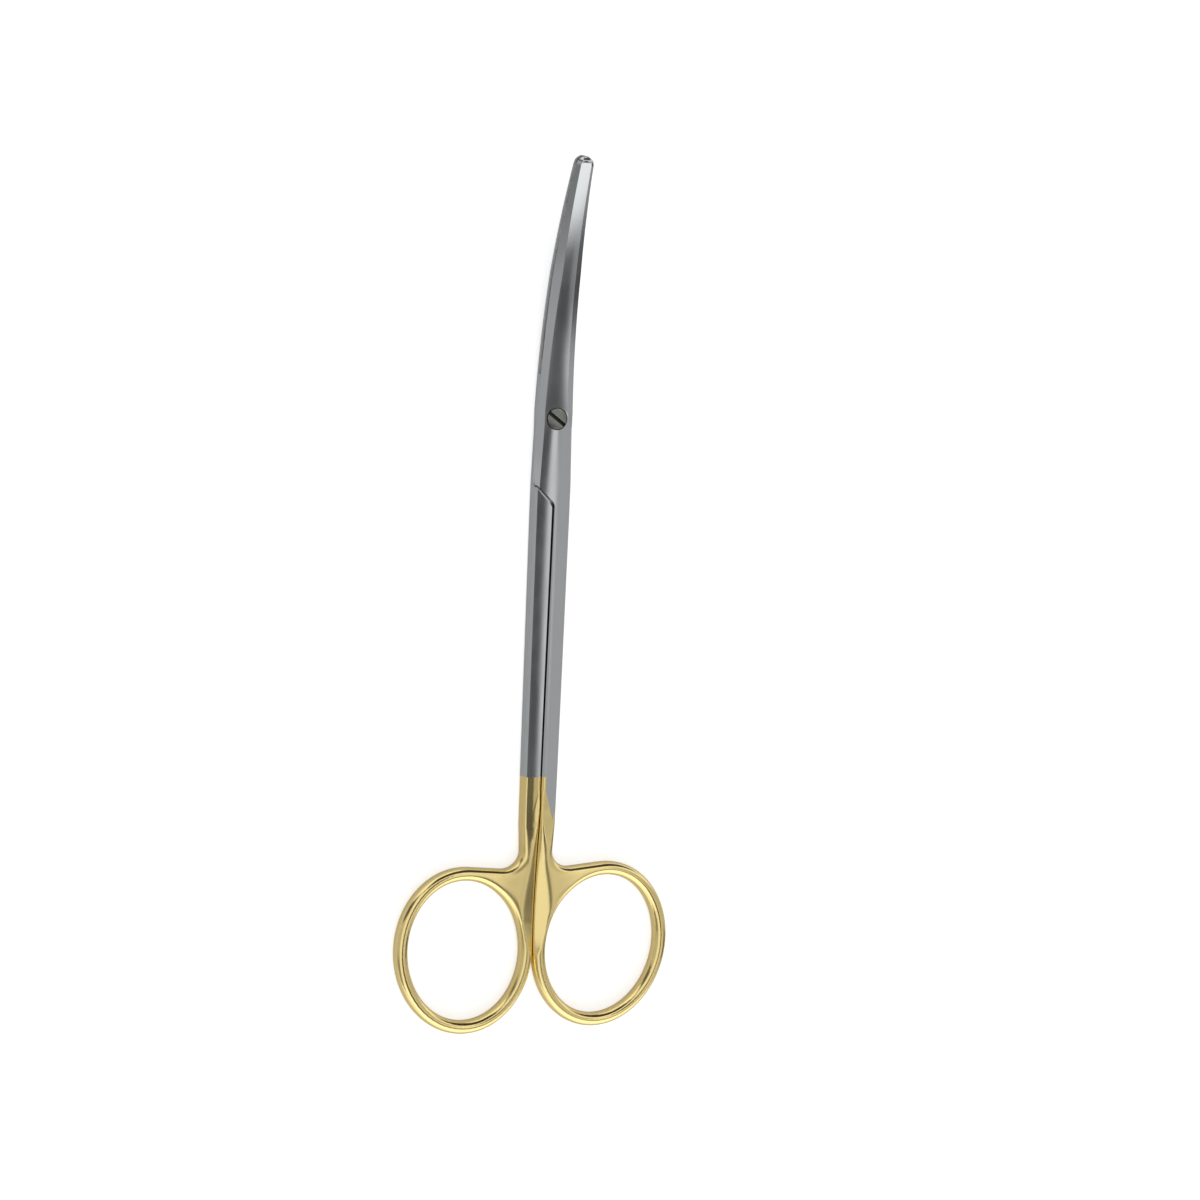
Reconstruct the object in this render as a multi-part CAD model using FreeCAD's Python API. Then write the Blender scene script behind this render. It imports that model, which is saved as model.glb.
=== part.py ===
import FreeCAD, Part
import math
import os
from FreeCAD import Vector

# Curved dissecting scissors, 180 mm long, lying closed on a flat surface with the tips curving up.
# X runs across to the right-hand finger ring, Y along the shanks to the tips, and Z up.
# The origin is on the pivot axis, at the height of the surface that the scissors lie on.
# The upper half has the right-hand ring and seats the screw's head. The lower half is threaded.
# Each half is worked out on its own flat inner face, z = 0, with its shank on the right.
# All sizes are in millimetres.

# Blades
tip_reach = 53.2            # pivot axis to the tips, along Y
bend_start = 1.0            # where the blades start to curve up, along Y
bend_radius = 146.0         # radius of that curve, seen from the side
waist_at = 30.0             # pivot to the middle of the blade, along the curve
waist_width = 6.05
waist_crown = 1.75          # thickness of one blade
waist_ridge = 1.5           # height of the ridge that borders the spine's bevel
waist_bevel = 1.65          # width of that bevel
waist_edge_bevel = 1.25     # width of the bevel above the cutting edge
waist_edge_top = 1.4        # height at which that bevel ends
tip_width = 3.6
tip_crown = 1.3
tip_ridge = 1.0
tip_bevel = 0.75
tip_edge_bevel = 0.55
tip_edge_top = 1.0
tip_plan_radius = 1.95      # rounding of the end, seen from above
tip_side_radius = 2.1       # rounding of the end, seen from the side
edge_land = 0.8             # upright land above the cutting edge
spine_land = 0.25           # upright land at the foot of the spine's bevel
edge_setback = 0.2          # cutting side short of the other half's spine
hollow_slope = 0.04         # rise of the hollow inner face from the cutting edge to the spine
hollow_run = 10.0           # length over which the hollow comes in
blade_stations = 8          # steps between the sections along the blade

# Joint
joint_width = 7.7
joint_crown = 1.9           # thickness of one half
joint_ridge = 1.7
joint_bevel = 1.1
joint_edge_bevel = 0.4
joint_edge_top = 1.6
joint_land = 1.25           # upright land below the edge bevel
flat_reach = 5.0            # flat bearing face beyond the pivot axis, along Y
parting_gap = 0.1           # between the flat faces of the two halves
step_start = 13.3           # pivot to the S-shaped step, at the side of the shank
step_turn = 48.0            # slant of the step's middle stretch from Y, in degrees
step_lead = 20.0            # slant at its start, in degrees
step_upper_radius = 2.2
step_lower_radius = 2.0
step_edge = 0.4             # broken edge of the step
step_room = 6.5             # straight form of the joint below the start of the step
step_width = 8.2            # across the spines at the step
step_bevel = 0.8

# Screw
head_diameter = 4.5
head_height = 1.0
screw_diameter = 3.0
head_sink = 0.1             # head below the crown of the upper half
running_gap = 0.04          # radial, in the upper half
slot_width = 0.75
slot_depth = 0.65
slot_turn = -36.0           # direction of the slot from X, in degrees

# Edge inserts
insert_start = 9.0          # pivot to the insert's end, along the curve
insert_width = 1.5
insert_height = 0.75

# Shanks
shank_width = 7.5           # across both shanks, below the step
shank_side = 1.72           # half height of the outer side face
shank_crown = 1.95          # half height at the middle of the pair
shank_foot_width = 6.9      # the same three sizes above the rings
shank_foot_side = 1.6
shank_foot_crown = 1.85
shank_corner = 0.12         # bevel between the side face and the arch
shank_gap = 0.4             # between the shanks at the step
ring_gap = 0.12             # between the rings
groove_start = 0.15         # bevel along the gap, at the step
groove_foot = 0.45          # the same where it begins to widen
groove_run = 12.0           # from there to the junction

# Valley between the rings, where each shank slopes down to the gap
valley_start_width = 1.1    # on each half, at the junction
valley_start_depth = 0.7
valley_run = 9.0            # junction to its widest place
valley_width = 2.6
valley_depth = 1.0
pinch_run = 1.7             # middle of the rings to the place where they touch
pinch_width = 0.7
pinch_depth = 0.8

# Marking flat, ground on the upper half only
flat_top = 19.0             # pivot to its upper end
flat_rise = 5.0             # length over which it runs out above that
flat_short = 5.5            # from the point at its lower end to the junction
flat_point = 6.0            # length of that point
flat_inner = 0.95           # its inner border from the middle of the pair
flat_depth = 0.1            # below the arch

# Finger rings
junction = 88.0             # pivot to the place where the shank opens into the ring
fade_length = 20.0          # length over which the shank's arch sinks into the ring
fade_fall = 0.35            # crown's fall over that length
ring_drop = 21.3            # junction to the middle of the rings
ring_half_width = 14.0      # centre line of the wire
ring_half_length = 16.0
ring_lean = 10.0            # outward lean of the rings' upper ends, in degrees
ring_wire_width = 2.8
ring_wire_height = 3.2
ring_edge = 1.3             # rounding of the rings' edges
shoulder_slope = 5.0        # fall of the straight shoulder towards the shank, in degrees
shoulder_radius = 4.0       # fillet between the shank's side and the shoulder

parting_height = shank_crown + parting_gap / 2
joint_top = joint_crown - head_sink
half_gap = shank_gap / 2
step_level = shank_side - step_edge / 2     # from the parting face to the step's broken edge
ring_middle = junction + ring_drop          # pivot to the middle of the rings
flat_foot = junction - flat_short           # pivot to the point at the flat's lower end
clear = 20.0                # length of cutting shapes past the solid that they cut


def on_curve(s, across, up, bend):
    """Place a point of a blade: s along the curve, across the blade and up from its inner face."""
    angle = max(0.0, (s - bend_start) / bend_radius)
    along = bend_start + bend_radius * math.sin(angle) if angle else s
    rise = bend_radius * (1.0 - math.cos(angle))
    return Vector(across, along - bend * up * math.sin(angle), bend * rise + up * math.cos(angle))


def section(s, form, bend):
    """One closed section of a half's own level, from the flat inner face to the arched outer face."""
    width, crown, ridge, bevel, low, edge_bevel, edge_top, land, setback, hollow = form
    spine = width / 2.0
    edge = width / 2.0 - setback
    profile = [
        (-spine, hollow * (spine + edge)),
        (edge, 0.0),
        (edge, land),
        (edge - edge_bevel, edge_top),
        (-spine + bevel, ridge),
        (-spine, low),
    ]
    corners = [on_curve(s, across, up, bend) for across, up in profile]
    crown_point = on_curve(s, 0.0, crown, bend)
    sides = []
    for number, corner in enumerate(corners):
        following = corners[(number + 1) % len(corners)]
        if number == 3:
            sides.append(Part.Arc(corner, crown_point, following).toShape())
        else:
            sides.append(Part.LineSegment(corner, following).toShape())
    return Part.Wire(sides)


def shank_form(width, side, crown):
    """A section of both shanks together, alike on the left and on the right."""
    low = side - shank_corner
    return (width, crown, side, shank_corner, low, shank_corner, side, low, 0.0, 0.0)


def between(first, second, share):
    """A section part of the way from one to another."""
    return tuple(a + (b - a) * share for a, b in zip(first, second))


foot_form = shank_form(shank_foot_width, shank_foot_side, shank_foot_crown)
fade_form = shank_form(2 * (ring_wire_width - ring_edge), shank_foot_side - fade_fall, shank_foot_crown - fade_fall)
top_form = shank_form(shank_width, shank_side, shank_crown)
joint_form = (joint_width, joint_crown, joint_ridge, joint_bevel, spine_land,
              joint_edge_bevel, joint_edge_top, joint_land, edge_setback, 0.0)
waist_form = (waist_width, waist_crown, waist_ridge, waist_bevel, spine_land,
              waist_edge_bevel, waist_edge_top, edge_land, edge_setback, 0.0)
tip_form = (tip_width, tip_crown, tip_ridge, tip_bevel, spine_land,
            tip_edge_bevel, tip_edge_top, edge_land, edge_setback / 2.0, 0.0)


def step_form():
    """The section at the step: as the shank on the right, and wider at the spine on the left."""
    reach = shank_width / 2 - shank_corner
    ridge_at = step_width / 2 - step_bevel
    ridge = shank_crown - (shank_crown - shank_side) * (ridge_at / reach) ** 2
    low = shank_side - shank_corner
    setback = (step_width - shank_width) / 2
    return (step_width, shank_crown, ridge, step_bevel, spine_land, shank_corner, shank_side, low, setback, 0.0)


def form_at(s):
    """The section of the joint and blade at a distance s from the pivot, along the curve."""
    keys = [(-step_start, step_form()), (0.0, joint_form), (waist_at, waist_form), (tip_distance(), tip_form)]
    form = keys[0][1]
    for (start, first), (end, second) in zip(keys[:-1], keys[1:]):
        if s > start:
            form = between(first, second, (s - start) / (end - start))
    hollow = hollow_slope * min(1.0, max(0.0, (s - flat_reach) / hollow_run))
    return form[:9] + (hollow,)


def blade_level(bend):
    """The joint and blade of a half on its own level, from below the step to beyond the tip."""
    joint_at = [-step_start - step_room, -step_start, 0.0, bend_start]
    last = tip_distance() + 1.0
    blade_at = [bend_start + (last - bend_start) * n / blade_stations for n in range(blade_stations + 1)]
    joint = Part.makeLoft([section(s, form_at(s), bend) for s in joint_at], True, True)
    blade = Part.makeLoft([section(s, form_at(s), bend) for s in blade_at], True, False)
    return joint.fuse(round_tip(blade, bend))


def shank_level(top, bend):
    """One level of both shanks. Their ridges sink into the rings' shoulders at the lower end."""
    sections = [
        section(-junction - fade_length, fade_form, bend),
        section(-junction, foot_form, bend),
        section(top, top_form, bend),
    ]
    return Part.makeLoft(sections, True, True)


def tip_distance():
    """Length from the pivot to the tip along the blade's inner face."""
    return bend_start + bend_radius * math.asin((tip_reach - bend_start) / bend_radius)


def round_tip(solid, bend):
    """Round the end of a blade, seen from above and seen from the side."""
    angle = (tip_distance() - bend_start) / bend_radius
    rise = bend_radius * (1.0 - math.cos(angle))
    above = Part.makeBox(clear, clear, clear, Vector(-clear / 2, -tip_plan_radius, -clear / 2))
    above = above.cut(Part.makeCylinder(tip_plan_radius, clear, Vector(0, -tip_plan_radius, -clear / 2)))
    beside = Part.makeBox(clear, clear, clear, Vector(-clear / 2, -tip_side_radius, -clear / 2))
    beside = beside.cut(Part.makeCylinder(tip_side_radius, clear,
                                          Vector(-clear / 2, -tip_side_radius, 0), Vector(1, 0, 0)))
    for tool in (above, beside):
        tool.rotate(Vector(0, 0, 0), Vector(1, 0, 0), bend * math.degrees(angle))
        tool.translate(Vector(0, tip_reach, bend * rise))
        solid = solid.cut(tool)
    return solid


def step_curve(shift):
    """Edges of the S-shaped step, from outside the left side face to the gap between the shanks."""
    lead = math.radians(step_lead)
    turn = math.radians(step_turn)
    x = -shank_width / 2.0 + shift
    y = -step_start

    def heading(angle, length):
        return Vector(math.sin(angle), -math.cos(angle), 0) * length

    def bend_to(start, radius, begin, end):
        side = 1.0 if end > begin else -1.0
        centre = start + Vector(math.cos(begin), math.sin(begin), 0) * radius * side
        points = []
        for share in (0.5, 1.0):
            angle = begin + (end - begin) * share
            points.append(centre - Vector(math.cos(angle), math.sin(angle), 0) * radius * side)
        return Part.Arc(start, points[0], points[1]).toShape(), points[1]

    start = Vector(x, y, 0)
    outside = start - heading(lead, clear / 4)
    upper, upper_end = bend_to(start, step_upper_radius, lead, turn)
    last_run = step_lower_radius * (1.0 - math.cos(turn))
    across = half_gap + shift - last_run - upper_end.x
    middle_end = upper_end + heading(turn, across / math.sin(turn))
    lower, lower_end = bend_to(middle_end, step_lower_radius, turn, 0.0)
    edges = [
        Part.LineSegment(outside, start).toShape(),
        upper,
        Part.LineSegment(upper_end, middle_end).toShape(),
        lower,
    ]
    return edges, outside, lower_end


def outline(shift, corners):
    """Closed plan outline: the step's curve and then some corners."""
    edges, first, last = step_curve(shift)
    points = [last] + corners + [Vector(-clear, first.y, 0), first]
    closing = [Part.LineSegment(a, b).toShape() for a, b in zip(points[:-1], points[1:])]
    return Part.Wire(edges + closing)


def own_side():
    """Room of a half on its own level: all above the step, and right of the gap below it."""
    foot = -junction - fade_length - 1.0
    corners = [
        Vector(ring_gap / 2, -junction, 0),
        Vector(ring_gap / 2, foot, 0),
        Vector(clear, foot, 0),
        Vector(clear, tip_reach + clear, 0),
        Vector(-clear, tip_reach + clear, 0),
    ]
    face = Part.Face(outline(0.0, corners))
    face.translate(Vector(0, 0, -clear))
    return face.extrude(Vector(0, 0, 2 * clear))


def other_side():
    """Room of a half's shank on the other level, below the step, whose outer edge is broken."""
    foot = -junction - fade_length - 1.0
    corners = [
        Vector(-ring_gap / 2, -junction, 0),
        Vector(-ring_gap / 2, foot, 0),
        Vector(-clear, foot, 0),
    ]
    wire = outline(-shank_gap, corners)
    upper = Part.Face(wire).extrude(Vector(0, 0, clear))
    upper.translate(Vector(0, 0, -step_level))
    edge_wire = wire.copy()
    edge_wire.translate(Vector(0, 0, -step_level))
    outer_wire = edge_wire.copy()
    outer_wire.translate(Vector(0, -2 * step_edge, -2 * step_edge))
    lower = Part.makeLoft([edge_wire, outer_wire], True, True)
    return upper.fuse(lower).mirror(Vector(0, 0, 0), Vector(1, 0, 0))


def half_turn(shape):
    """Turn a shape over about the Y axis."""
    turned = shape.copy()
    turned.rotate(Vector(0, 0, 0), Vector(0, 1, 0), 180)
    return turned


def handle():
    """The finger ring with its shoulder, rounded all over, open to the shank at the top."""
    lean = math.radians(ring_lean)
    slope = math.radians(shoulder_slope)
    across = Vector(math.cos(lean), -math.sin(lean), 0)
    axis = Vector(math.sin(lean), math.cos(lean), 0)
    outer_width = ring_half_width + ring_wire_width / 2
    outer_length = ring_half_length + ring_wire_width / 2
    reach = math.hypot(outer_width * math.cos(lean), outer_length * math.sin(lean))
    centre = Vector(ring_gap / 2 + reach, -ring_middle, 0)
    side = shank_foot_width / 2

    def touch_point(normal):
        u = outer_width ** 2 * normal.dot(across)
        v = outer_length ** 2 * normal.dot(axis)
        size = math.sqrt(u * normal.dot(across) + v * normal.dot(axis))
        return centre + across * (u / size) + axis * (v / size)

    shoulder_normal = Vector(-math.sin(slope), math.cos(slope), 0)
    shoulder_end = touch_point(shoulder_normal)
    inner_touch = touch_point(Vector(-1, 0, 0))
    hub_x = side + shoulder_radius
    hub_y = (shoulder_radius + shoulder_normal.dot(shoulder_end) - shoulder_normal.x * hub_x) / shoulder_normal.y
    hub = Vector(hub_x, hub_y, 0)
    arc_start = hub - shoulder_normal * shoulder_radius
    arc_end = hub - Vector(shoulder_radius, 0, 0)
    arc_middle = hub - (shoulder_normal + Vector(1, 0, 0)).normalize() * shoulder_radius

    ring = Part.Ellipse(centre + axis * outer_length, centre - across * outer_width, centre)
    start = ring.parameter(inner_touch)
    end = ring.parameter(shoulder_end)
    if end < start:
        end += 2 * math.pi
    edges = [
        Part.LineSegment(Vector(ring_gap / 2, -junction, 0), inner_touch).toShape(),
        ring.toShape(start, end),
        Part.LineSegment(shoulder_end, arc_start).toShape(),
        Part.Arc(arc_start, arc_middle, arc_end).toShape(),
        Part.LineSegment(arc_end, Vector(side, -junction, 0)).toShape(),
        Part.LineSegment(Vector(side, -junction, 0), Vector(ring_gap / 2, -junction, 0)).toShape(),
    ]
    inner_width = ring_half_width - ring_wire_width / 2
    inner_length = ring_half_length - ring_wire_width / 2
    hole = Part.Ellipse(centre + axis * inner_length, centre - across * inner_width, centre)
    face = Part.Face(Part.Wire(Part.__sortEdges__(edges)))
    face = face.cut(Part.Face(Part.Wire(hole.toShape())))
    face.translate(Vector(0, 0, -ring_wire_height / 2))
    solid = face.extrude(Vector(0, 0, ring_wire_height))
    rims = []
    for edge in solid.Edges:
        box = edge.BoundBox
        if box.ZLength < 0.01 and box.YMin < -junction - 0.01:
            rims.append(edge)
    return solid.makeFillet(ring_edge, rims)


def groove():
    """Cutting shapes that bevel the shank along the gap and open the valley between the rings, on both faces."""
    wire_top = ring_wire_height / 2
    step_end = step_curve(0.0)[2].y
    upper = [
        (step_end, half_gap, groove_start, groove_start, shank_crown),
        (-junction + groove_run, ring_gap / 2, groove_foot, groove_foot, shank_foot_crown),
    ]
    lower = [
        upper[1],
        (-junction, ring_gap / 2, valley_start_width, valley_start_depth, shank_foot_crown),
        (-junction - valley_run, ring_gap / 2, valley_width, valley_depth, wire_top),
        (-ring_middle - pinch_run, ring_gap / 2, pinch_width, pinch_depth, wire_top),
    ]
    shapes = []
    for stations, ruled in ((upper, True), (lower, False)):
        for face in (1.0, -1.0):
            ends = []
            for y, gap, width, depth, top in stations:
                corners = [
                    Vector(gap - width, y, face * (top - 2 * depth)),
                    Vector(gap + 2 * width, y, face * (top + depth)),
                    Vector(gap - width, y, face * (top + depth)),
                ]
                ends.append(Part.makePolygon(corners + [corners[0]]))
            shapes.append(Part.makeLoft(ends, True, ruled))
    return shapes


def marking_flat():
    """Cutting shape of the flat that is ground on the upper half's shank."""
    outside = shank_width / 2 + 1.0
    inner_height = shank_crown - flat_depth
    outer_height = shank_side - flat_depth / 2
    slope = (outer_height - inner_height) / (shank_width / 2 - flat_inner)
    taper = (shank_crown - shank_foot_crown) / (junction - step_start)

    def corner(x, y):
        return Vector(x, y, inner_height + slope * (x - flat_inner) + taper * (y + flat_top))

    def plate(border):
        return Part.Face(Part.makePolygon(border + [border[0]])).extrude(Vector(0, 0, shank_crown))

    upper = [corner(flat_inner, -flat_top), corner(outside, -flat_top)]
    lower = [
        corner(outside, -flat_foot + flat_point / 2),
        corner(shank_foot_width * 0.4, -flat_foot),
        corner(flat_inner, -flat_foot + flat_point),
    ]
    rise = Vector(0, flat_rise, flat_depth)
    return plate(upper + lower).fuse(plate([upper[1], upper[0], upper[0] + rise, upper[1] + rise]))


def forged_half(bend):
    """One half without its screw hole or insert: blade, joint, shank and ring in one piece."""
    seam = -step_start - step_room
    own = blade_level(bend).fuse(shank_level(seam, bend)).common(own_side())
    under = half_turn(shank_level(-step_start + 1.0, -bend)).common(other_side())
    solid = own.fuse([under, handle()])
    for tool in groove():
        solid = solid.cut(tool)
    return solid.removeSplitter()


def insert_room(bend):
    """The strip along the cutting edge that the insert fills."""
    first = insert_start
    last = tip_distance() + 2.0
    count = blade_stations // 2
    wires = []
    for n in range(count + 1):
        s = first + (last - first) * n / count
        form = form_at(s)
        edge = form[0] / 2 - form[8]
        low = -1.0
        corners = [(edge - insert_width, low), (edge + 1.0, low), (edge + 1.0, insert_height),
                   (edge - insert_width, insert_height)]
        points = [on_curve(s, across, up, bend) for across, up in corners]
        wires.append(Part.makePolygon(points + [points[0]]))
    return Part.makeLoft(wires, True, False)


def pivot_screw():
    """The slotted screw, from its head in the upper half to its flush end under the lower half."""
    head = Part.makeCylinder(head_diameter / 2, head_height, Vector(0, 0, joint_top - head_height))
    end = -parting_height - parting_gap / 2
    stem = Part.makeCylinder(screw_diameter / 2, joint_top - head_height - end, Vector(0, 0, end))
    slot = Part.makeBox(head_diameter + 1, slot_width, slot_depth + 1,
                        Vector(-head_diameter / 2 - 0.5, -slot_width / 2, joint_top - slot_depth))
    slot.rotate(Vector(0, 0, 0), Vector(0, 0, 1), slot_turn)
    return head.fuse(stem).cut(slot).removeSplitter()


def screw_seat():
    """The counterbored hole in the upper half, in which the screw turns."""
    seat = Part.makeCylinder(head_diameter / 2 + running_gap, clear,
                             Vector(0, 0, joint_top - head_height - running_gap))
    hole = Part.makeCylinder(screw_diameter / 2 + running_gap, clear, Vector(0, 0, -clear / 2))
    return seat.fuse(hole)


def build():
    """All the pieces by name, each in its place."""
    upper = forged_half(1.0).cut(screw_seat()).cut(marking_flat())
    upper_insert = upper.common(insert_room(1.0))
    upper = upper.cut(insert_room(1.0))

    lower = forged_half(-1.0).cut(Part.makeCylinder(screw_diameter / 2, clear, Vector(0, 0, -clear / 2)))
    lower_insert = lower.common(insert_room(-1.0))
    lower = lower.cut(insert_room(-1.0))

    up = Vector(0, 0, parting_height + parting_gap / 2)
    down = Vector(0, 0, parting_height - parting_gap / 2)
    pieces = {
        "upper_half": (upper, up),
        "upper_edge_insert": (upper_insert, up),
        "lower_half": (half_turn(lower), down),
        "lower_edge_insert": (half_turn(lower_insert), down),
        "pivot_screw": (pivot_screw(), up),
    }
    placed = {}
    for name, (solid, offset) in pieces.items():
        solid.translate(offset)
        placed[name] = solid
    return placed


os.makedirs("parts", exist_ok=True)
for name, solid in build().items():
    solid.exportStep("parts/" + name + ".step")
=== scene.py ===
import math

import bmesh
import bpy
from mathutils import Matrix


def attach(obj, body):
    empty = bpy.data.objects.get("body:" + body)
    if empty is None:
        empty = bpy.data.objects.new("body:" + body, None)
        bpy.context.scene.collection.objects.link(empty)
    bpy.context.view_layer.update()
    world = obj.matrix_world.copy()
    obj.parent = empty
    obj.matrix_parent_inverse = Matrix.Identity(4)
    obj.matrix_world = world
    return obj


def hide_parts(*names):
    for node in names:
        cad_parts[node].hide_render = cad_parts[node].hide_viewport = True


# Curved dissecting scissors with gold-plated handles, closed, lying on a pale floor.
# X runs to the right-hand ring, Y to the tips, Z up from the floor. The frame is in metres, and the
# sizes below are in millimetres, unless they are multiplied by MM.
# The camera looks down from the left, along the line that the photograph was taken on.

MM = 0.001

# Blades, as in the solid model
BEND_START = 1.0                # where the blades start to curve up, along Y
BEND_RADIUS = 146.0
TIP_AT = 54.38                  # pivot to the tip, along the curve
TIP_PLAN_RADIUS = 1.95
TIP_SIDE_LENGTH = 1.1           # length of the rounded end, seen from the side
HOLLOW_SLOPE = 0.04             # of the inner face, from the cutting edge to the spine
HOLLOW_FROM = 5.0
HOLLOW_RUN = 10.0
INSERT_START = 9.0
INSERT_WIDTH = 1.5
INSERT_HEIGHT = 0.75
SPINE_BREAK = 0.25              # broken lower edge of the spine, on a blade of SPINE_BREAK_WIDTH
SPINE_BREAK_WIDTH = 6.0
SPINE_BREAK_RUN = 6.0

# Shanks and step
SHANK_WIDTH = 7.5               # across both shanks, below the step
SHANK_CROWN = 1.95              # half height at the middle of the pair
SHANK_FOOT_CROWN = 1.85
SHANK_CORNER = 0.12             # bevel between the side face and the arch
JUNCTION = -88.0                # where the shanks open into the rings
STEEL_END = -76.0               # the steel skins reach a little past the plating's edge
STEP_START = -13.3
STEP_SEAM = -19.8               # the joint's form is straight from here to the step
STEP_LEAD = 20.0                # slant at the start of the step, in degrees
STEP_TURN = 48.0                # slant of its middle stretch, in degrees
STEP_UPPER_RADIUS = 2.2
STEP_LOWER_RADIUS = 2.0
STEP_ARC_STEPS = 10
STEP_LEVEL = 1.63               # from the inner face to the step's broken edge
STEP_EDGE = (1.1, 0.5)          # run and fall of that edge
HALF_GAP = 0.2                  # half the gap between the shanks, at the step
RING_GAP = 0.06                 # the same between the rings
GROOVE_START = 0.15             # bevel along the gap, at the step
GROOVE_END = 0.45
SEAM = 0.001                    # between two sections of different form at one place
CLEAR = 20.0                    # reach of cutting shapes past the piece that they cut
BEYOND_TIP = 73.0

# Screw hole and seat
SEAT_RADIUS = 2.29
SEAT_FLOOR = 0.76
HOLE_RADIUS = 1.54
THREAD_RADIUS = 1.5
DRILL_REACH = 9.0
DRILL_SIDES = 96

# Flat that is ground on the upper half's shank
FLAT_TOP = -19.0
FLAT_END = -79.5
FLAT_RISE = 5.0                 # length over which it runs out
FLAT_DEPTH = 0.1
FLAT_BORDER = 0.95              # its inner border
FLAT_OUTSIDE = 4.75
FLAT_HEIGHT = 1.85
FLAT_FALL = (1.67 - 1.85) / (3.75 - 0.95)
FLAT_TAPER = 0.1 / 74.7

# Heights of the flat inner faces of the upper and the lower half
UPPER_FACE = 2.05 * MM
LOWER_FACE = 1.95 * MM

# Finish
PARTING = 2.0 * MM              # height of the faces on which the two halves meet
PLATING_EDGE = -73.6 * MM       # the gold starts here, towards the rings
FLAT_INNER = 0.95 * MM          # inner border of the flat's bare steel
FLAT_FOOT = -82.5 * MM          # tip of its pointed end
FLAT_SHOULDER = -76.5 * MM      # where that point begins
FLAT_TIP_AT = 2.76 * MM         # the tip, across
STEEL_COLOR = (0.585, 0.60, 0.61)
GOLD_COLOR = (0.98, 0.785, 0.35)
SCREW_COLOR = (0.25, 0.25, 0.235)
# colour of the painted shade in the screw's slot and round the rim of its head
SCREW_PAINTED_SHADE = (0.035, 0.034, 0.03)
CARBIDE_COLOR = (0.40, 0.40, 0.41)
FLOOR_GLOW = 0.62
FLOOR_MIRRORED = 0.05

# Handles
VOXEL = 0.14 * MM
FIRM_UNTIL = -79.0              # the edges are eased more and more below here
FIRM_SHARE = 0.12
EASE_RUN = 9.0
EASE_STEPS = 24
BLEND_STEPS = 160

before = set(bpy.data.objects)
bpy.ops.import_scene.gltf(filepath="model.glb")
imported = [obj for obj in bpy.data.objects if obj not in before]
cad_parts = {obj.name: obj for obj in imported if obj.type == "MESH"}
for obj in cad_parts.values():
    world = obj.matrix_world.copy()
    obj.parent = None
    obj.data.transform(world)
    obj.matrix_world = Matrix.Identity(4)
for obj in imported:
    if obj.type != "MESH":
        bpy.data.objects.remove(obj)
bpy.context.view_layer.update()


# Node helpers

def new_material(name):
    """An empty node material, its tree and a function that adds nodes to it."""
    material = bpy.data.materials.new(name)
    material.use_nodes = True
    tree = material.node_tree
    tree.nodes.clear()
    return material, tree, node_adder(tree)


def node_adder(tree):
    """A function that adds a node to the tree and sets its values."""
    def add(kind, **values):
        node = tree.nodes.new(kind)
        for key, value in values.items():
            setattr(node, key, value)
        return node
    return add


def link(tree, out, into):
    tree.links.new(out, into)


def math_node(tree, add, operation, first, second=None, third=None):
    """A Math node. Each input is a socket or a number."""
    node = add("ShaderNodeMath", operation=operation)
    for slot, value in enumerate((first, second, third)):
        if value is None:
            continue
        if isinstance(value, (int, float)):
            node.inputs[slot].default_value = value
        else:
            link(tree, value, node.inputs[slot])
    return node.outputs[0]


def grain(tree, add, stretch, scale):
    """Noise on Object coordinates, stretched per axis."""
    place = add("ShaderNodeTexCoord")
    mapping = add("ShaderNodeMapping")
    mapping.inputs["Scale"].default_value = stretch
    noise = add("ShaderNodeTexNoise")
    noise.inputs["Scale"].default_value = scale
    noise.inputs["Detail"].default_value = 4.0
    link(tree, place.outputs["Object"], mapping.inputs["Vector"])
    link(tree, mapping.outputs["Vector"], noise.inputs["Vector"])
    return noise.outputs["Fac"]


def ramp(tree, add, value, low, high, start=0.3, end=0.7, smooth=False):
    """Map a value to a range of numbers."""
    scale = add("ShaderNodeMapRange")
    if smooth:
        scale.interpolation_type = "SMOOTHSTEP"
    scale.inputs["From Min"].default_value = start
    scale.inputs["From Max"].default_value = end
    scale.inputs["To Min"].default_value = low
    scale.inputs["To Max"].default_value = high
    link(tree, value, scale.inputs["Value"])
    return scale.outputs["Result"]


def bump(tree, add, height, distance):
    """A normal from a height."""
    node = add("ShaderNodeBump")
    node.inputs["Strength"].default_value = 1.0
    node.inputs["Distance"].default_value = distance
    link(tree, height, node.inputs["Height"])
    return node.outputs["Normal"]


def metal(tree, add, color, roughness, normal):
    """A metal shader. Roughness and normal are sockets."""
    shader = add("ShaderNodeBsdfPrincipled")
    shader.inputs["Base Color"].default_value = (*color, 1.0)
    shader.inputs["Metallic"].default_value = 1.0
    link(tree, roughness, shader.inputs["Roughness"])
    link(tree, normal, shader.inputs["Normal"])
    return shader.outputs["BSDF"]


def satin_steel(tree, add):
    """Steel with a fine cross grain from grinding."""
    fine = grain(tree, add, (1.0, 2.6, 1.0), 1500.0)
    cloud = grain(tree, add, (1.0, 0.6, 1.0), 160.0)
    rough = ramp(tree, add, cloud, 0.13, 0.18)
    return metal(tree, add, STEEL_COLOR, rough, bump(tree, add, fine, 0.0000022))


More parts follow.
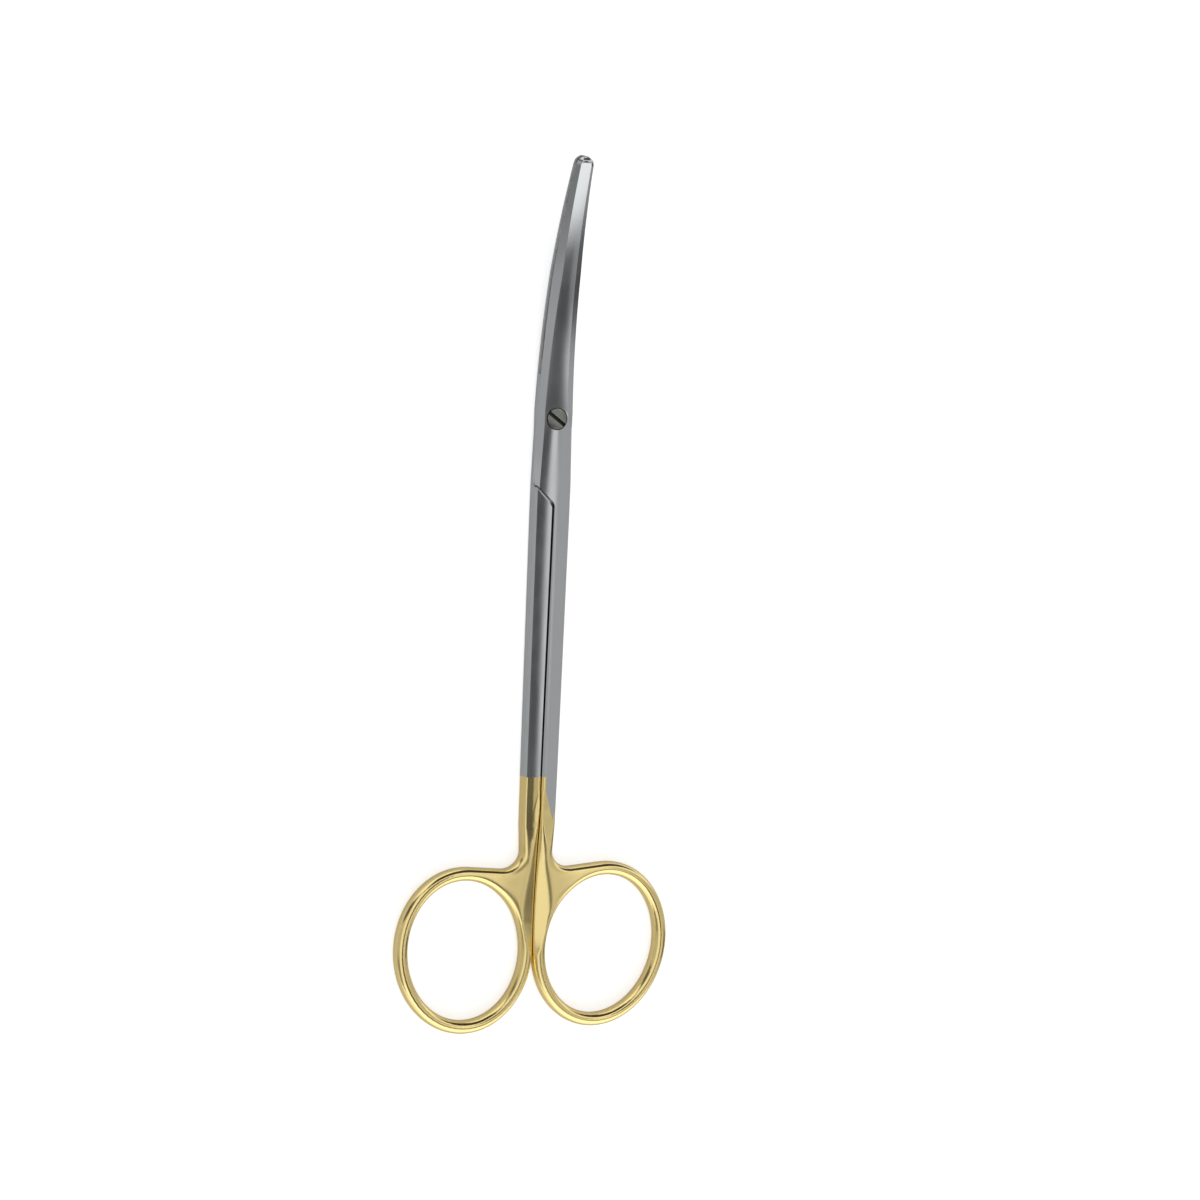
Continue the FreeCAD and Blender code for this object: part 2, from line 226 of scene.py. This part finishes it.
def polished_gold(tree, add, split):
    """Plating: bright on the rings, and satin where the shanks open into them."""
    fine = grain(tree, add, (1.0, 0.8, 1.0), 1100.0)
    cloud = grain(tree, add, (1.0, 1.0, 1.0), 90.0)
    across = math_node(tree, add, "ABSOLUTE", split.outputs["X"])
    near = ramp(tree, add, across, 1.0, 0.0, 5.0 * MM, 10.0 * MM, True)
    below = ramp(tree, add, split.outputs["Y"], 1.0, 0.0, -91.0 * MM, -84.0 * MM, True)
    satin = math_node(tree, add, "MULTIPLY", near, below)
    rough = math_node(tree, add, "MULTIPLY_ADD", satin, 0.09, ramp(tree, add, cloud, 0.12, 0.16))
    return metal(tree, add, GOLD_COLOR, rough, bump(tree, add, fine, 0.0000022))


def step_mask(tree, add, socket, edge, above):
    """1 where a coordinate is above the edge, or below it."""
    return math_node(tree, add, "GREATER_THAN" if above else "LESS_THAN", socket, edge)


def make_half_material(name, with_flat):
    """Satin steel, gold plated towards the ring, but not on the flat that was ground afterwards."""
    material, tree, add = new_material(name)
    place = add("ShaderNodeTexCoord")
    split = add("ShaderNodeSeparateXYZ")
    link(tree, place.outputs["Object"], split.inputs["Vector"])
    plated = step_mask(tree, add, split.outputs["Y"], PLATING_EDGE, False)
    if with_flat:
        bare = flat_mask(tree, add, split)
        plated = math_node(tree, add, "MULTIPLY", plated, math_node(tree, add, "SUBTRACT", 1.0, bare))
    mix = add("ShaderNodeMixShader")
    link(tree, plated, mix.inputs["Fac"])
    link(tree, satin_steel(tree, add), mix.inputs[1])
    link(tree, polished_gold(tree, add, split), mix.inputs[2])
    output = add("ShaderNodeOutputMaterial")
    link(tree, mix.outputs["Shader"], output.inputs["Surface"])
    return material


def flat_mask(tree, add, split):
    """1 on the ground flat: on top, right of its inner border and above its pointed end."""
    on_top = step_mask(tree, add, split.outputs["Z"], PARTING, True)
    inside = step_mask(tree, add, split.outputs["X"], FLAT_INNER, True)
    slope = (FLAT_SHOULDER - FLAT_FOOT) / (FLAT_TIP_AT - FLAT_INNER)
    aside = math_node(tree, add, "SUBTRACT", split.outputs["X"], FLAT_TIP_AT)
    away = math_node(tree, add, "ABSOLUTE", aside)
    point = math_node(tree, add, "MULTIPLY_ADD", away, -slope, split.outputs["Y"])
    above_point = step_mask(tree, add, point, FLAT_FOOT, True)
    return math_node(tree, add, "MULTIPLY", math_node(tree, add, "MULTIPLY", on_top, inside), above_point)


def make_plain_metal(name, color, low, high):
    """A fine ground metal with a range of roughness."""
    material, tree, add = new_material(name)
    fine = grain(tree, add, (1.0, 1.0, 1.0), 2200.0)
    cloud = grain(tree, add, (1.0, 1.0, 1.0), 400.0)
    rough = ramp(tree, add, cloud, low, high)
    shader = metal(tree, add, color, rough, bump(tree, add, fine, 0.000003))
    output = add("ShaderNodeOutputMaterial")
    link(tree, shader, output.inputs["Surface"])
    return material


def make_screw_material():
    """Dull steel, with painted shade: darker in the slot, and a dark painted shade line round the rim of
    the head.
    """
    material, tree, add = new_material("screw_steel")
    fine = grain(tree, add, (1.0, 1.0, 1.0), 2200.0)
    rough = ramp(tree, add, grain(tree, add, (1.0, 1.0, 1.0), 400.0), 0.20, 0.28)
    place = add("ShaderNodeTexCoord")
    split = add("ShaderNodeSeparateXYZ")
    link(tree, place.outputs["Object"], split.inputs["Vector"])
    x_square = math_node(tree, add, "MULTIPLY", split.outputs["X"], split.outputs["X"])
    radius = math_node(tree, add, "SQRT", math_node(tree, add, "MULTIPLY_ADD", split.outputs["Y"],
                                                    split.outputs["Y"], x_square))
    # Painted shade: the colour goes dark round the rim of the head and low in the slot, where shade falls.
    rim = ramp(tree, add, radius, 1.0, 0.0, 2.08 * MM, 2.16 * MM, True)
    top = ramp(tree, add, split.outputs["Z"], 0.0, 1.0, 3.40 * MM, 3.72 * MM, True)
    unshaded = math_node(tree, add, "MULTIPLY", rim, top)
    tint = add("ShaderNodeMix", data_type="RGBA")
    tint.inputs[6].default_value = (*SCREW_PAINTED_SHADE, 1.0)
    tint.inputs[7].default_value = (*SCREW_COLOR, 1.0)
    link(tree, unshaded, tint.inputs[0])
    shader = add("ShaderNodeBsdfPrincipled")
    shader.inputs["Metallic"].default_value = 1.0
    link(tree, tint.outputs[2], shader.inputs["Base Color"])
    link(tree, rough, shader.inputs["Roughness"])
    link(tree, bump(tree, add, fine, 0.000003), shader.inputs["Normal"])
    output = add("ShaderNodeOutputMaterial")
    link(tree, shader.outputs["BSDF"], output.inputs["Surface"])
    return material


# Mesh helpers

def select_only(thing):
    """Select one object and make it active."""
    bpy.ops.object.select_all(action="DESELECT")
    thing.select_set(True)
    bpy.context.view_layer.objects.active = thing


def joined_copy(node, name):
    """A copy of a CAD piece, with its loose triangles joined up."""
    select_only(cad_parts[node])
    bpy.ops.object.duplicate()
    piece = bpy.context.view_layer.objects.active
    piece.name = name
    piece.parent = None
    bpy.ops.object.mode_set(mode="EDIT")
    bpy.ops.mesh.select_all(action="SELECT")
    bpy.ops.mesh.remove_doubles(threshold=0.5e-6)
    bpy.ops.object.mode_set(mode="OBJECT")
    return piece


def cut_off(piece, y, keep_above):
    """Cut a piece across at one place along Y, and close the cut."""
    select_only(piece)
    bpy.ops.object.mode_set(mode="EDIT")
    bpy.ops.mesh.select_all(action="SELECT")
    bpy.ops.mesh.bisect(plane_co=(0.0, y, 0.0), plane_no=(0.0, 1.0, 0.0), use_fill=True,
                        clear_inner=keep_above, clear_outer=not keep_above)
    bpy.ops.object.mode_set(mode="OBJECT")


def hand_over(piece, node, body, material):
    """Give a finished piece its shading, material and body."""
    select_only(piece)
    bpy.ops.object.shade_smooth_by_angle(angle=math.radians(25.0))
    piece.data.materials.clear()
    piece.data.materials.append(material)
    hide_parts(node)
    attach(piece, body)


# Sections of the steel part of a half, as on its own level: the flat inner face is at Z = 0, and
# the lower half is the same form turned over about Y. A form is width, crown, ridge, bevel, low,
# edge bevel, edge top, land and setback.

def shank_form(width, side, crown):
    """A section of both shanks together."""
    low = side - SHANK_CORNER
    return (width, crown, side, SHANK_CORNER, low, SHANK_CORNER, side, low, 0.0)


FOOT_FORM = shank_form(6.9, 1.6, SHANK_FOOT_CROWN)
TOP_FORM = shank_form(SHANK_WIDTH, 1.72, SHANK_CROWN)
STEP_FORM = (8.2, 1.95, 1.76, 0.8, 0.25, 0.12, 1.72, 1.60, 0.35)
JOINT_FORM = (7.75, 1.9, 1.7, 1.1, 0.25, 0.4, 1.6, 1.25, 0.2)
HEEL_FORM = (7.5, 1.747, 1.43, 1.15, 0.25, 1.35, 1.91, 1.6, 0.2)
WAIST_FORM = (6.05, 1.68, 1.5, 1.65, 0.25, 1.25, 1.71, 1.3, 0.2)
TIP_FORM = (3.6, 1.16, 1.0, 0.75, 0.25, 0.55, 1.2, 0.95, 0.1)
KEYS = ((JUNCTION, FOOT_FORM), (STEP_SEAM, TOP_FORM), (STEP_SEAM + SEAM, STEP_FORM),
        (STEP_START, STEP_FORM), (-2.6, JOINT_FORM), (1.6, HEEL_FORM), (30.0, WAIST_FORM),
        (TIP_AT, TIP_FORM))
ARCH_STEPS = 14


def share_of(part, whole):
    """A part's share of a whole, from 0 to 1."""
    return min(1.0, max(0.0, part / whole))


def form_at(s):
    """Sizes of the section at a distance s from the pivot, along the curve."""
    for (start, first), (end, second) in zip(KEYS[:-1], KEYS[1:]):
        if s <= end:
            share = max(0.0, (s - start) / (end - start))
            return [a + (b - a) * share for a, b in zip(first, second)]
    return list(KEYS[-1][1])


def arch(first, middle, last):
    """Points on the parabola through three points, from the first to the last."""
    points = []
    for n in range(ARCH_STEPS + 1):
        x = first[0] + (last[0] - first[0]) * n / ARCH_STEPS
        z = 0.0
        for p, q, r in ((first, middle, last), (middle, first, last), (last, first, middle)):
            z += p[1] * (x - q[0]) * (x - r[0]) / ((p[0] - q[0]) * (p[0] - r[0]))
        points.append((x, z))
    return points


def section(s, notched, form):
    """Points round one section, with or without the room for the edge insert."""
    width, crown, ridge, bevel, low, edge_bevel, edge_top, land, setback = form
    spine = width / 2
    edge = width / 2 - setback
    slope = HOLLOW_SLOPE * share_of(s - HOLLOW_FROM, HOLLOW_RUN)
    inner = edge - INSERT_WIDTH
    if notched:
        notch = [(inner, slope * INSERT_WIDTH), (inner, INSERT_HEIGHT), (edge, INSERT_HEIGHT)]
    else:
        notch = [(inner, slope * INSERT_WIDTH), (inner, slope * INSERT_WIDTH), (edge, 0.0)]
    top = arch((edge - edge_bevel, edge_top), (0.0, crown), (-spine + bevel, ridge))
    broken = SPINE_BREAK * share_of(s - BEND_START, SPINE_BREAK_RUN) * width / SPINE_BREAK_WIDTH
    foot = slope * (spine + edge)
    inside = [(-spine, foot + broken), (-spine + 2 * broken + SEAM, foot)]
    return inside + notch + [(edge, land)] + top + [(-spine, low + broken)]


def on_curve(s, across, up, bend):
    """Place a point of a half: s along the curve, across it and up from its inner face."""
    angle = max(0.0, (s - BEND_START) / BEND_RADIUS)
    along = BEND_START + BEND_RADIUS * math.sin(angle) if angle else s
    rise = BEND_RADIUS * (1.0 - math.cos(angle))
    return (across, along - bend * up * math.sin(angle), bend * rise + up * math.cos(angle))


def spread(first, last, count):
    """Evenly spaced places from the first to the last."""
    return [first + (last - first) * n / count for n in range(count + 1)]


def blade_stations():
    """Places along a half, closer together where the tip rounds off."""
    places = spread(STEEL_END, STEP_SEAM, 4) + spread(STEP_SEAM + SEAM, STEP_START, 2)
    places += spread(STEP_START + 1.0, -3.0, 5) + spread(-2.6, 4.0, 22)
    places += spread(4.5, INSERT_START, 6)
    stations = [(s, False) for s in places]
    turn_from = TIP_AT - TIP_PLAN_RADIUS
    stations += [(s, True) for s in spread(INSERT_START, turn_from, 38)]
    steps = 18
    for n in range(1, steps + 1):
        turned = math.sin(math.pi / 2 * n / steps)
        stations.append((TIP_AT - TIP_PLAN_RADIUS * (1.0 - turned), True))
    return stations


def round_share(left, length):
    """How far an elliptic end of some length is still open, at a distance from its end."""
    if left >= length:
        return 1.0
    return max(0.02, math.sqrt(max(0.0, 1.0 - (1.0 - left / length) ** 2)))


def own_level(bend):
    """Rings of points: shank, joint and blade, from below the plating's edge to the rounded tip."""
    rings = []
    for s, notched in blade_stations():
        left = max(0.0, TIP_AT - s)
        narrow = round_share(left, TIP_PLAN_RADIUS)
        thin = round_share(left, TIP_SIDE_LENGTH)
        rings.append([on_curve(s, x * narrow, z * thin, bend) for x, z in section(s, notched, form_at(s))])
    return rings


def under_level():
    """Rings of points: the half's shank on the other level, as a half turn puts it there."""
    rings = []
    top = STEP_START + 1.0
    for s in spread(STEEL_END, top, 4):
        share = (s - JUNCTION) / (top - JUNCTION)
        form = [a + (b - a) * share for a, b in zip(FOOT_FORM, TOP_FORM)]
        rings.append([(-x, s, -z) for x, z in section(s, False, form)])
    return rings


def arc_points(start, radius, begin, end):
    """Points after the start of an arc whose heading goes from one angle to another."""
    side = 1.0 if end > begin else -1.0
    centre_x = start[0] + side * math.cos(begin) * radius
    centre_y = start[1] + side * math.sin(begin) * radius
    points = []
    for n in range(1, STEP_ARC_STEPS + 1):
        angle = begin + (end - begin) * n / STEP_ARC_STEPS
        x = centre_x - side * math.cos(angle) * radius
        y = centre_y - side * math.sin(angle) * radius
        points.append((x, y))
    return points


def step_curve(shift):
    """Points of the S-shaped step, from outside the left side face to the gap between the shanks."""
    lead = math.radians(STEP_LEAD)
    turn = math.radians(STEP_TURN)
    outside = CLEAR / 4
    x = -SHANK_WIDTH / 2 + shift
    points = [(x - math.sin(lead) * outside, STEP_START + math.cos(lead) * outside), (x, STEP_START)]
    points += arc_points(points[-1], STEP_UPPER_RADIUS, lead, turn)
    last_run = STEP_LOWER_RADIUS * (1.0 - math.cos(turn))
    across = HALF_GAP + shift - last_run - points[-1][0]
    points.append((points[-1][0] + across, points[-1][1] - across / math.tan(turn)))
    return points + arc_points(points[-1], STEP_LOWER_RADIUS, turn, 0.0)


def skin(name, rings):
    """A closed skin through rings of points, as an object. Sizes go from millimetres to metres."""
    build = bmesh.new()
    rows = []
    for ring in rings:
        rows.append([build.verts.new((x * MM, y * MM, z * MM)) for x, y, z in ring])
    count = len(rows[0])
    for first, second in zip(rows[:-1], rows[1:]):
        for n in range(count):
            m = (n + 1) % count
            build.faces.new((first[n], first[m], second[m], second[n]))
    build.faces.new(rows[0])
    build.faces.new(rows[-1])
    bmesh.ops.remove_doubles(build, verts=build.verts, dist=0.2e-6)
    bmesh.ops.dissolve_degenerate(build, edges=build.edges, dist=0.2e-6)
    bmesh.ops.recalc_face_normals(build, faces=build.faces)
    mesh = bpy.data.meshes.new(name)
    build.to_mesh(mesh)
    build.free()
    piece = bpy.data.objects.new(name, mesh)
    bpy.context.scene.collection.objects.link(piece)
    return piece


def combine(piece, tool, operation):
    """Join, cut or intersect a piece with a tool, which is used up."""
    select_only(piece)
    change = piece.modifiers.new("combine", "BOOLEAN")
    change.operation = operation
    change.solver = "EXACT"
    change.object = tool
    bpy.ops.object.modifier_apply(modifier=change.name)
    bpy.data.objects.remove(tool)
    return piece


def own_side():
    """Room of a half on its own level: all above the step, and right of the gap below it."""
    curve = step_curve(0.0)
    plan = curve + [(RING_GAP, JUNCTION), (CLEAR, JUNCTION), (CLEAR, BEYOND_TIP), (-CLEAR, BEYOND_TIP),
                    (-CLEAR, curve[0][1])]
    return skin("own_side", [[(x, y, z) for x, y in plan] for z in (-CLEAR, CLEAR)])


def other_side():
    """Room of a half's shank on the other level, whose edge along the step is broken."""
    curve = step_curve(-2 * HALF_GAP)
    plan = curve + [(-RING_GAP, JUNCTION), (-CLEAR, JUNCTION), (-CLEAR, curve[0][1])]
    run, fall = STEP_EDGE
    levels = ((CLEAR, 0.0), (-STEP_LEVEL, 0.0), (-STEP_LEVEL - fall, -run))
    return skin("other_side", [[(-x, y + shift, z) for x, y in plan] for z, shift in levels])


def groove(face):
    """Cutting shape that bevels the shank along the gap."""
    stations = (
        (step_curve(0.0)[-1][1], HALF_GAP, GROOVE_START, SHANK_CROWN),
        (STEEL_END, RING_GAP, GROOVE_END, SHANK_FOOT_CROWN),
    )
    rings = []
    for y, gap, width, top in stations:
        low = face * (top - 2 * width)
        high = face * (top + width)
        rings.append([(gap - width, y, low), (gap + 2 * width, y, high), (gap - width, y, high)])
    return skin("groove", rings)


def marking_flat():
    """Cutting shapes of the ground flat: the plate, and the slant on which it runs out."""

    def corner(x, y):
        return (x, y, FLAT_HEIGHT + FLAT_FALL * (x - FLAT_BORDER) + FLAT_TAPER * (y - FLAT_TOP))

    border = [corner(FLAT_BORDER, FLAT_TOP), corner(FLAT_OUTSIDE, FLAT_TOP),
              corner(FLAT_OUTSIDE, FLAT_END), corner(FLAT_BORDER, FLAT_END)]
    run_out = [border[1], border[0]]
    run_out += [(x, y + FLAT_RISE, z + FLAT_DEPTH) for x, y, z in border[:2]]
    plates = []
    for plan in (border, run_out):
        plates.append(skin("flat", [plan, [(x, y, z + SHANK_CROWN) for x, y, z in plan]]))
    return plates


def drill(radius, low, high):
    """Cutting cylinder on the pivot axis."""
    ring = []
    for n in range(DRILL_SIDES):
        angle = math.radians(360.0 / DRILL_SIDES * n)
        ring.append((radius * math.cos(angle), radius * math.sin(angle)))
    return skin("drill", [[(x, y, z) for x, y in ring] for z in (low, high)])


def steel_part(name, upper):
    """Shank, joint and blade of one half, with its holes and the room for its insert."""
    bend = 1.0 if upper else -1.0
    piece = combine(skin(name, own_level(bend)), own_side(), "INTERSECT")
    under = combine(skin(name + "_under", under_level()), other_side(), "INTERSECT")
    combine(piece, under, "UNION")
    for face in (1.0, -1.0):
        combine(piece, groove(face), "DIFFERENCE")
    if upper:
        for plate in marking_flat():
            combine(piece, plate, "DIFFERENCE")
        combine(piece, drill(SEAT_RADIUS, SEAT_FLOOR, DRILL_REACH), "DIFFERENCE")
        combine(piece, drill(HOLE_RADIUS, -DRILL_REACH, DRILL_REACH), "DIFFERENCE")
        piece.data.transform(Matrix.Translation((0.0, 0.0, UPPER_FACE)))
    else:
        combine(piece, drill(THREAD_RADIUS, -DRILL_REACH, DRILL_REACH), "DIFFERENCE")
        turn = Matrix.Rotation(math.pi, 4, "Y")
        piece.data.transform(Matrix.Translation((0.0, 0.0, LOWER_FACE)) @ turn)
    cut_off(piece, PLATING_EDGE, True)
    return piece


def smooth_where(piece, name, steps, weight_at):
    """Smooth a piece by a weight that a function gives for each place."""
    group = piece.vertex_groups.new(name=name)
    for vertex in piece.data.vertices:
        weight = weight_at(abs(vertex.co.x) / MM, vertex.co.y / MM)
        group.add([vertex.index], weight, "REPLACE")
    soften = piece.modifiers.new(name, "SMOOTH")
    soften.factor = 0.5
    soften.iterations = steps
    soften.vertex_group = name
    bpy.ops.object.modifier_apply(modifier=soften.name)


def ease_weight(x, y):
    """Little near the steel, and all of it on the rings."""
    return min(1.0, max(FIRM_SHARE, (FIRM_UNTIL - y) / EASE_RUN))


def web_weight(x, y):
    """Only on the web where the shanks open into the rings, and less at the gap."""
    along = share_of(-84.0 - y, 5.0) * share_of(y + 106.0, 6.0)
    across = share_of(x - 0.15, 0.9) * share_of(8.0 - x, 3.0)
    return along * across


def handle_part(node, name):
    """The handle of one half, with its edges eased more and more below the plating's edge."""
    piece = joined_copy(node, name)
    cut_off(piece, PLATING_EDGE + 6.0 * MM, False)
    select_only(piece)
    remesh = piece.modifiers.new("even", "REMESH")
    remesh.mode = "VOXEL"
    remesh.voxel_size = VOXEL
    remesh.use_smooth_shade = True
    bpy.ops.object.modifier_apply(modifier=remesh.name)
    smooth_where(piece, "ease", EASE_STEPS, ease_weight)
    smooth_where(piece, "blend", BLEND_STEPS, web_weight)
    piece.vertex_groups.clear()
    cut_off(piece, PLATING_EDGE, False)
    return piece


# The forged halves, the screw and the inserts

def forged_half(node, name, upper, body, material):
    """Steel part and handle, joined into one piece."""
    steel = steel_part(name, upper)
    handle = handle_part(node, name + "_handle")
    for part, angle in ((steel, 14.0), (handle, 60.0)):
        select_only(part)
        bpy.ops.object.shade_smooth_by_angle(angle=math.radians(angle))
    select_only(steel)
    handle.select_set(True)
    bpy.ops.object.join()
    steel.data.materials.clear()
    steel.data.materials.append(material)
    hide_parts(node)
    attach(steel, body)
    return steel


def bevelled_screw():
    """The screw with its edges broken."""
    screw = joined_copy("pivot_screw", "pivot_screw_finished")
    bpy.ops.object.mode_set(mode="EDIT")
    bpy.ops.mesh.select_all(action="SELECT")
    bpy.ops.mesh.dissolve_limited(angle_limit=math.radians(1.0))
    bpy.ops.object.mode_set(mode="OBJECT")
    bevel = screw.modifiers.new("broken_edges", "BEVEL")
    bevel.width = 0.10 * MM
    bevel.segments = 2
    bevel.limit_method = "ANGLE"
    bevel.angle_limit = math.radians(60.0)
    bpy.ops.object.modifier_apply(modifier=bevel.name)
    return screw


upper_steel = make_half_material("upper_half_satin_and_gold", True)
lower_steel = make_half_material("lower_half_satin_and_gold", False)
screw_steel = make_screw_material()
carbide = make_plain_metal("edge_carbide", CARBIDE_COLOR, 0.25, 0.35)

forged_half("upper_half", "upper_half_finished", True, "upper_body", upper_steel)
forged_half("lower_half", "lower_half_finished", False, "lower_body", lower_steel)
hand_over(bevelled_screw(), "pivot_screw", "lower_body", screw_steel)
hand_over(joined_copy("upper_edge_insert", "upper_edge_insert_finished"), "upper_edge_insert", "upper_body",
          carbide)
hand_over(joined_copy("lower_edge_insert", "lower_edge_insert_finished"), "lower_edge_insert", "lower_body",
          carbide)


# Floor

def make_floor_material():
    """White to the camera, fainter in reflections, with the object's shadow kept."""
    material, tree, add = new_material("floor_white")
    diffuse = add("ShaderNodeBsdfDiffuse")
    diffuse.inputs["Color"].default_value = (0.8, 0.8, 0.8, 1.0)
    glow = add("ShaderNodeEmission")
    path = add("ShaderNodeLightPath")
    seen = math_node(tree, add, "MULTIPLY", path.outputs["Is Camera Ray"], FLOOR_GLOW)
    mirrored = math_node(tree, add, "MAXIMUM", path.outputs["Is Glossy Ray"],
                         path.outputs["Is Transmission Ray"])
    strength = math_node(tree, add, "MULTIPLY_ADD", mirrored, FLOOR_MIRRORED, seen)
    link(tree, strength, glow.inputs["Strength"])
    both = add("ShaderNodeAddShader")
    output = add("ShaderNodeOutputMaterial")
    link(tree, diffuse.outputs["BSDF"], both.inputs[0])
    link(tree, glow.outputs["Emission"], both.inputs[1])
    link(tree, both.outputs["Shader"], output.inputs["Surface"])
    return material


bpy.ops.object.select_all(action="DESELECT")
bpy.ops.mesh.primitive_plane_add(size=6.0, location=(0.0, 0.0, -0.00005))
floor = bpy.context.object
floor.name = "floor"
bpy.ops.object.transform_apply(location=True, rotation=True, scale=True)
floor.data.materials.append(make_floor_material())


# Light: a studio room of soft panels, given as bands of brightness round the sky.
# Each panel: from and to, across (degrees from straight up, towards the right) with its softness,
# then from and to, along (degrees towards the tips) with its softness, and its brightness.

ROOM_LEVEL = 1.0
PANELS = (
    (-200.0, 200.0, 1.0, -26.0, 12.0, 4.0, 0.50),   # a grey belt across the room, over the shanks
    (-34.0, 3.0, 4.0, -30.0, 12.0, 2.0, 0.88),      # left of overhead: pale
    (-80.0, -36.0, 6.0, -40.0, -16.0, 5.0, 0.27),   # low on the left, in front: dark grey
    (22.0, 50.0, 3.0, -15.5, -11.4, 1.0, 0.74),     # overhead, over the webs: light
    (3.0, 24.0, 2.0, -24.5, -11.9, 1.2, 0.075),     # overhead, over the blades: dark, fading to the right
    (23.0, 34.0, 3.0, -24.5, -15.5, 1.5, 0.25),     # beside it: dark grey
    (7.5, 19.7, 1.2, -12.8, 14.0, 0.8, 0.085),      # overhead, over the shanks: dark band
    (20.6, 28.0, 0.9, -11.8, 14.0, 0.8, 0.95),      # beside it: bright strip
    (29.0, 31.5, 0.9, -11.8, 14.0, 0.8, 0.36),      # and a thin darker one
    (58.0, 90.0, 4.0, -18.0, -8.5, 2.0, 0.07),      # low on the right: dark
    (-25.0, 60.0, 5.0, -70.0, -27.5, 2.5, 1.35),    # in front: large soft box
    (-20.0, 75.0, 6.0, 26.0, 64.0, 6.0, 0.04),      # behind: dark
    (-90.0, -30.0, 8.0, 14.0, 40.0, 5.0, 0.12),     # behind, on the left: dark
)


def window(sky, add, value, low, high, soft):
    """1 between two values and 0 outside them, with soft borders."""
    opening = ramp(sky, add, value, 0.0, 1.0, low - soft, low + soft, True)
    closing = ramp(sky, add, value, 1.0, 0.0, high - soft, high + soft, True)
    return math_node(sky, add, "MULTIPLY", opening, closing)


def make_world():
    """White to the camera. To the object, the room with its panels."""
    world = bpy.data.worlds.new("studio")
    bpy.context.scene.world = world
    world.use_nodes = True
    sky = world.node_tree
    sky.nodes.clear()
    add = node_adder(sky)
    toward = add("ShaderNodeTexCoord")
    split = add("ShaderNodeSeparateXYZ")
    link(sky, toward.outputs["Generated"], split.inputs["Vector"])
    roll = math_node(sky, add, "ARCTAN2", split.outputs["X"], split.outputs["Z"])
    pitch = math_node(sky, add, "ARCSINE", split.outputs["Y"])
    across = math_node(sky, add, "DEGREES", roll)
    along = math_node(sky, add, "DEGREES", pitch)
    level = ROOM_LEVEL
    for left, right, soft, near, far, soft_along, brightness in PANELS:
        inside = math_node(sky, add, "MULTIPLY", window(sky, add, across, left, right, soft),
                           window(sky, add, along, near, far, soft_along))
        change = math_node(sky, add, "SUBTRACT", brightness, level)
        level = math_node(sky, add, "MULTIPLY_ADD", inside, change, level)
    room = add("ShaderNodeBackground")
    link(sky, level, room.inputs["Strength"])
    backdrop = add("ShaderNodeBackground")
    backdrop.inputs["Color"].default_value = (1.0, 1.0, 1.0, 1.0)
    room.inputs["Color"].default_value = (1.0, 1.0, 1.0, 1.0)
    rays = add("ShaderNodeLightPath")
    choice = add("ShaderNodeMixShader")
    world_out = add("ShaderNodeOutputWorld")
    link(sky, rays.outputs["Is Camera Ray"], choice.inputs["Fac"])
    link(sky, room.outputs["Background"], choice.inputs[1])
    link(sky, backdrop.outputs["Background"], choice.inputs[2])
    link(sky, choice.outputs["Shader"], world_out.inputs["Surface"])


make_world()


# Camera, looking down from the left

camera_data = bpy.data.cameras.new("camera")
camera = bpy.data.objects.new("camera", camera_data)
bpy.context.scene.collection.objects.link(camera)
camera.location = (-0.33575, 0.04087, 0.68539)
camera.rotation_mode = "ZXY"
camera.rotation_euler = (math.radians(-5.82), math.radians(-27.0), math.radians(2.45))
camera_data.sensor_width = 36.0
camera_data.lens = 112.176
camera_data.clip_start = 0.01
camera_data.clip_end = 20.0
bpy.context.scene.camera = camera

bpy.context.scene.view_settings.view_transform = "Standard"

bpy.context.view_layer.update()
